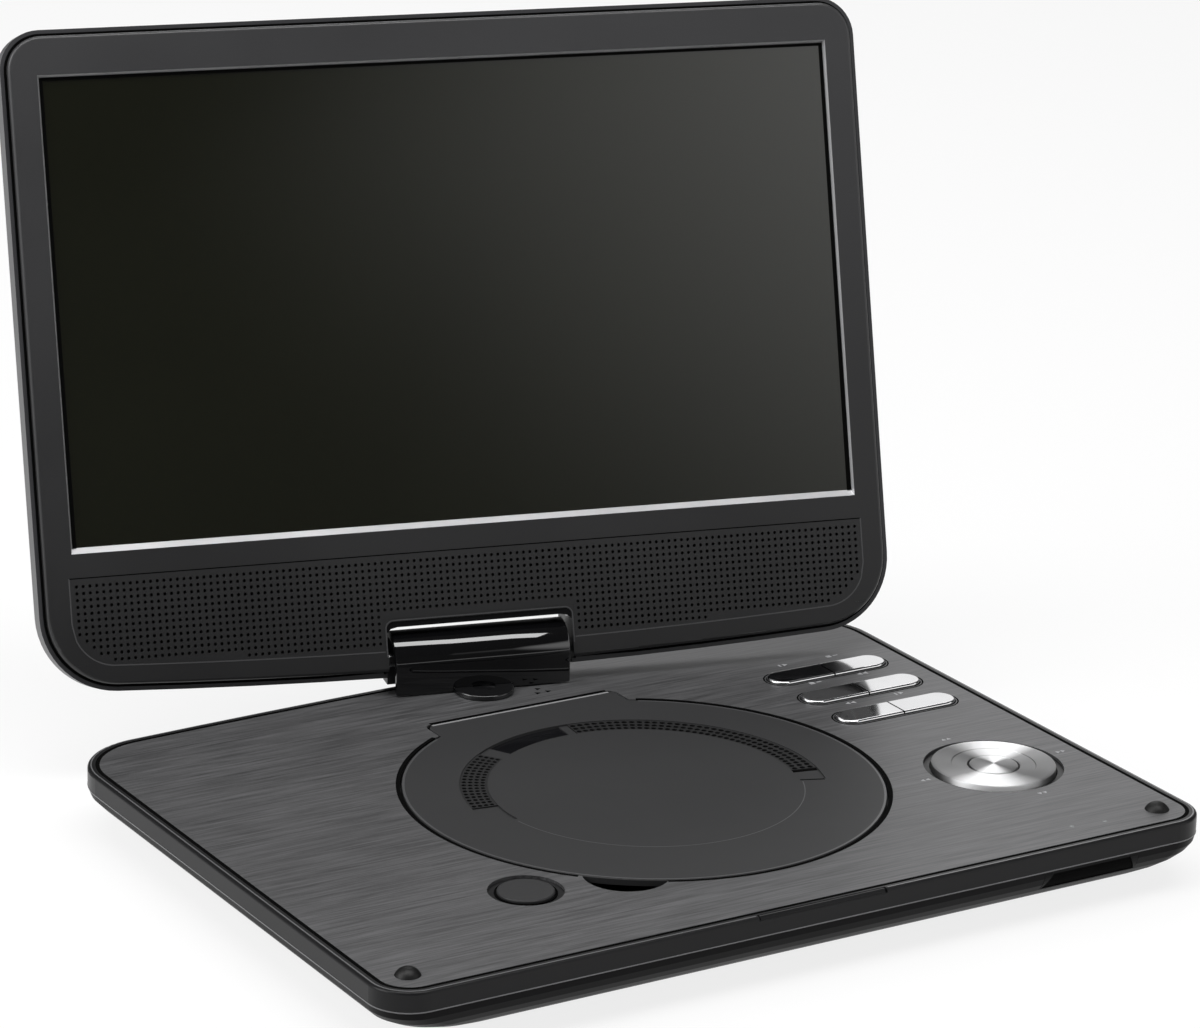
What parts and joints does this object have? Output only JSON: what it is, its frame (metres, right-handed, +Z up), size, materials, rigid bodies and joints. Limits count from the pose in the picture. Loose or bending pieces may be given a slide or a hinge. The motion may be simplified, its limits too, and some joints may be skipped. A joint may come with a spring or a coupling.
{
  "type": "portable disc player",
  "caption": "Flat clamshell disc player: brushed deck with round disc cover, pill keys and direction ring, and a screen lid with speaker grille on a swivel and tilt hinge.",
  "frame": {"origin": "middle of the flat underside of the base case, 2 mm above the table that the rubber feet stand on", "axes": "+Z up from the underside to the deck, +X to the user's right, -Y towards the user, with the lid open and swivelled 14 degrees"},
  "size_m": [0.2549, 0.2621, 0.1969],
  "materials": {
    "battery_wrap": "blue shrink wrap",
    "bezel_plastic": "fine-textured satin black plastic",
    "brass": "sintered bronze bush",
    "bright_key": "polished chrome plating",
    "case_lower": "fine-grained satin black moulded plastic",
    "case_upper": "satin dark grey moulded plastic",
    "chassis_steel": "pressed zinc-plated steel",
    "circuit_board": "green circuit board",
    "cover_plastic": "smooth satin dark grey plastic",
    "deck_metal": "dark brushed anodised sheet, streaks along X",
    "gloss_black": "piano black plastic",
    "hinge_grey": "satin grey plastic",
    "inner_plastic": "plain black plastic",
    "lens_glass": "small coated lens",
    "lid_back": "satin dark grey moulded plastic",
    "light_pipe": "translucent light pipe",
    "rubber": "matt black rubber",
    "screen": "near-black glossy display surface",
    "screen_module": "display module, metal-edged",
    "silver_ring": "turned aluminium look plating",
    "smoked_window": "gloss smoked plastic",
    "socket_metal": "bright tinned shell",
    "socket_plastic": "black socket plastic",
    "steel": "bright steel"
  },
  "bodies": {
    "base": {"base_bottom_case": "case_lower", "base_top_case": "case_upper", "deck_plate": "deck_metal", "rubber_feet": "rubber", "deck_bumpers": "rubber", "disc_bay_tray": "inner_plastic", "drive_chassis": "chassis_steel", "chassis_grommets": "rubber", "sled_rails": "steel", "sled_motor": "steel", "spindle_motor": "steel", "key_board": "circuit_board", "key_domes": "rubber", "main_board": "circuit_board", "battery_pack": "battery_wrap", "headphone_jack": "socket_plastic", "av_jack": "socket_plastic", "dc_jack": "socket_plastic", "usb_port": "socket_metal", "card_slot": "socket_metal", "power_switch_body": "socket_plastic", "ir_window": "smoked_window", "status_leds": "light_pipe", "base_screws": "steel", "swivel_bearing": "brass"},
    "cover": {"disc_cover": "cover_plastic", "cover_hinge_pins": "steel", "cover_window": "smoked_window"},
    "latch": {"cover_latch": "inner_plastic"},
    "open_key": {"open_button": "cover_plastic"},
    "pickup": {"laser_pickup": "chassis_steel", "pickup_lens": "lens_glass"},
    "screw": {"lead_screw": "steel"},
    "spindle": {"turntable": "inner_plastic", "hub_balls": "steel"},
    "nav_tilter": {"nav_gimbal": "inner_plastic"},
    "nav_pad": {"nav_ring": "silver_ring"},
    "nav_centre": {"nav_button": "silver_ring"},
    "switch": {"power_switch_knob": "socket_plastic"},
    "hinge_block": {"swivel_shaft": "steel", "swivel_retainer": "steel", "hinge_core": "chassis_steel", "hinge_front_cover": "gloss_black", "hinge_rear_cover": "hinge_grey", "tilt_pins": "steel"},
    "lid": {"lid_back_cover": "lid_back", "lid_front_bezel": "bezel_plastic", "speaker_grille": "bezel_plastic", "screen_glass": "screen", "screen_frame": "screen_module", "speakers": "inner_plastic", "hinge_brackets": "chassis_steel", "driver_board": "circuit_board", "lid_screws": "steel"},
    "body_key_1_left": {"key_1_left": "bright_key"},
    "body_key_1_right": {"key_1_right": "bright_key"},
    "body_key_2_left": {"key_2_left": "bright_key"},
    "body_key_2_right": {"key_2_right": "bright_key"},
    "body_key_3_left": {"key_3_left": "bright_key"},
    "body_key_3_right": {"key_3_right": "bright_key"}
  },
  "joints": [
    {"name": "lid_swivel", "type": "hinge", "parent": "base", "child": "hinge_block", "pos_m": [0, 0.0768, 0.017], "axis": [0, 0, 1], "range_deg": [-166.02, 13.98]},
    {"name": "lid_tilt", "type": "hinge", "parent": "hinge_block", "child": "lid", "pos_m": [0.00205, 0.08505, 0.02537], "axis": [-0.9704, 0.2416, 0], "range_deg": [-107.44, 72.56]},
    {"name": "cover_hinge", "type": "hinge", "parent": "base", "child": "cover", "pos_m": [0.002, 0.064, 0.0153], "axis": [-1, 0, 0], "range_deg": [0, 55]},
    {"name": "open_press", "type": "slide", "parent": "base", "child": "open_key", "axis": [0, 0, -1], "range_m": [0, 0.0014], "stiffness_N_per_m": 300, "springref_m": -0.001},
    {"name": "latch_slide", "type": "slide", "parent": "base", "child": "latch", "axis": [-0.809, -0.5878, 0], "range_m": [0, 0.0014]},
    {"name": "pickup_slide", "type": "slide", "parent": "base", "child": "pickup", "axis": [0, -1, 0], "range_m": [0, 0.03]},
    {"name": "screw_turn", "type": "hinge", "parent": "base", "child": "screw", "pos_m": [0.021, -0.06, 0.0054], "axis": [0, 1, 0], "range_deg": [0, 3600]},
    {"name": "spindle_turn", "type": "hinge", "parent": "base", "child": "spindle", "pos_m": [0.002, -0.0043, 0.012], "axis": [0, 0, 1], "continuous": true},
    {"name": "nav_rock_x", "type": "hinge", "parent": "base", "child": "nav_tilter", "pos_m": [0.0918, -0.036, 0.0149], "axis": [1, 0, 0], "range_deg": [-2, 2], "stiffness_Nm_per_rad": 0.4},
    {"name": "nav_rock_y", "type": "hinge", "parent": "nav_tilter", "child": "nav_pad", "pos_m": [0.0918, -0.036, 0.0149], "axis": [0, 1, 0], "range_deg": [-2, 2], "stiffness_Nm_per_rad": 0.4},
    {"name": "nav_press", "type": "slide", "parent": "base", "child": "nav_centre", "axis": [0, 0, -1], "range_m": [0, 0.0004], "stiffness_N_per_m": 800, "springref_m": -0.0004},
    {"name": "power_slide", "type": "slide", "parent": "base", "child": "switch", "axis": [0, 1, 0], "range_m": [0, 0.002]},
    {"name": "press_key_1_left", "type": "slide", "parent": "base", "child": "body_key_1_left", "axis": [0, 0, -1], "range_m": [0, 0.0005], "stiffness_N_per_m": 800, "springref_m": -0.0004},
    {"name": "press_key_1_right", "type": "slide", "parent": "base", "child": "body_key_1_right", "axis": [0, 0, -1], "range_m": [0, 0.0005], "stiffness_N_per_m": 800, "springref_m": -0.0004},
    {"name": "press_key_2_left", "type": "slide", "parent": "base", "child": "body_key_2_left", "axis": [0, 0, -1], "range_m": [0, 0.0005], "stiffness_N_per_m": 800, "springref_m": -0.0004},
    {"name": "press_key_2_right", "type": "slide", "parent": "base", "child": "body_key_2_right", "axis": [0, 0, -1], "range_m": [0, 0.0005], "stiffness_N_per_m": 800, "springref_m": -0.0004},
    {"name": "press_key_3_left", "type": "slide", "parent": "base", "child": "body_key_3_left", "axis": [0, 0, -1], "range_m": [0, 0.0005], "stiffness_N_per_m": 800, "springref_m": -0.0004},
    {"name": "press_key_3_right", "type": "slide", "parent": "base", "child": "body_key_3_right", "axis": [0, 0, -1], "range_m": [0, 0.0005], "stiffness_N_per_m": 800, "springref_m": -0.0004}
  ],
  "couplings": [
    {"joint": "latch_slide", "follows": "open_press", "ratio": 1},
    {"joint": "screw_turn", "follows": "pickup_slide", "rad_per_m": 2094.4}
  ]
}
